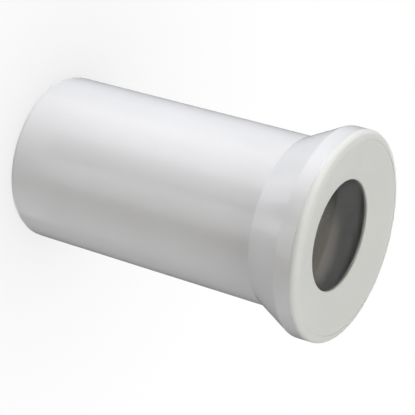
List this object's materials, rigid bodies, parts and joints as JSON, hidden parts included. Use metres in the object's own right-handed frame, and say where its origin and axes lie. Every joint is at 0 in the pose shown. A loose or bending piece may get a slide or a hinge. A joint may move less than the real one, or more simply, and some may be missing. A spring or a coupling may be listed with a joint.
{
  "type": "toilet pan connector",
  "caption": "Straight white soil pipe that flares into a collar closed by a soft dished seal with a round hole, joining a toilet pan's outlet to a drain pipe.",
  "frame": {"origin": "centre of the pipe's plain end, on the surface that the connector stands on", "axes": "+Z along the pipe's axis, from the plain end to the seal; +X through the slim rib on the pipe's bore"},
  "size_m": [0.1354, 0.1354, 0.22],
  "materials": {
    "pipe_plastic": "smooth moulded white plastic with a soft gloss",
    "seal_rubber": "soft off-white rubber with a fine matte skin"
  },
  "bodies": {
    "root": {"pipe_body": "pipe_plastic", "pan_seal": "seal_rubber"}
  },
  "joints": []
}
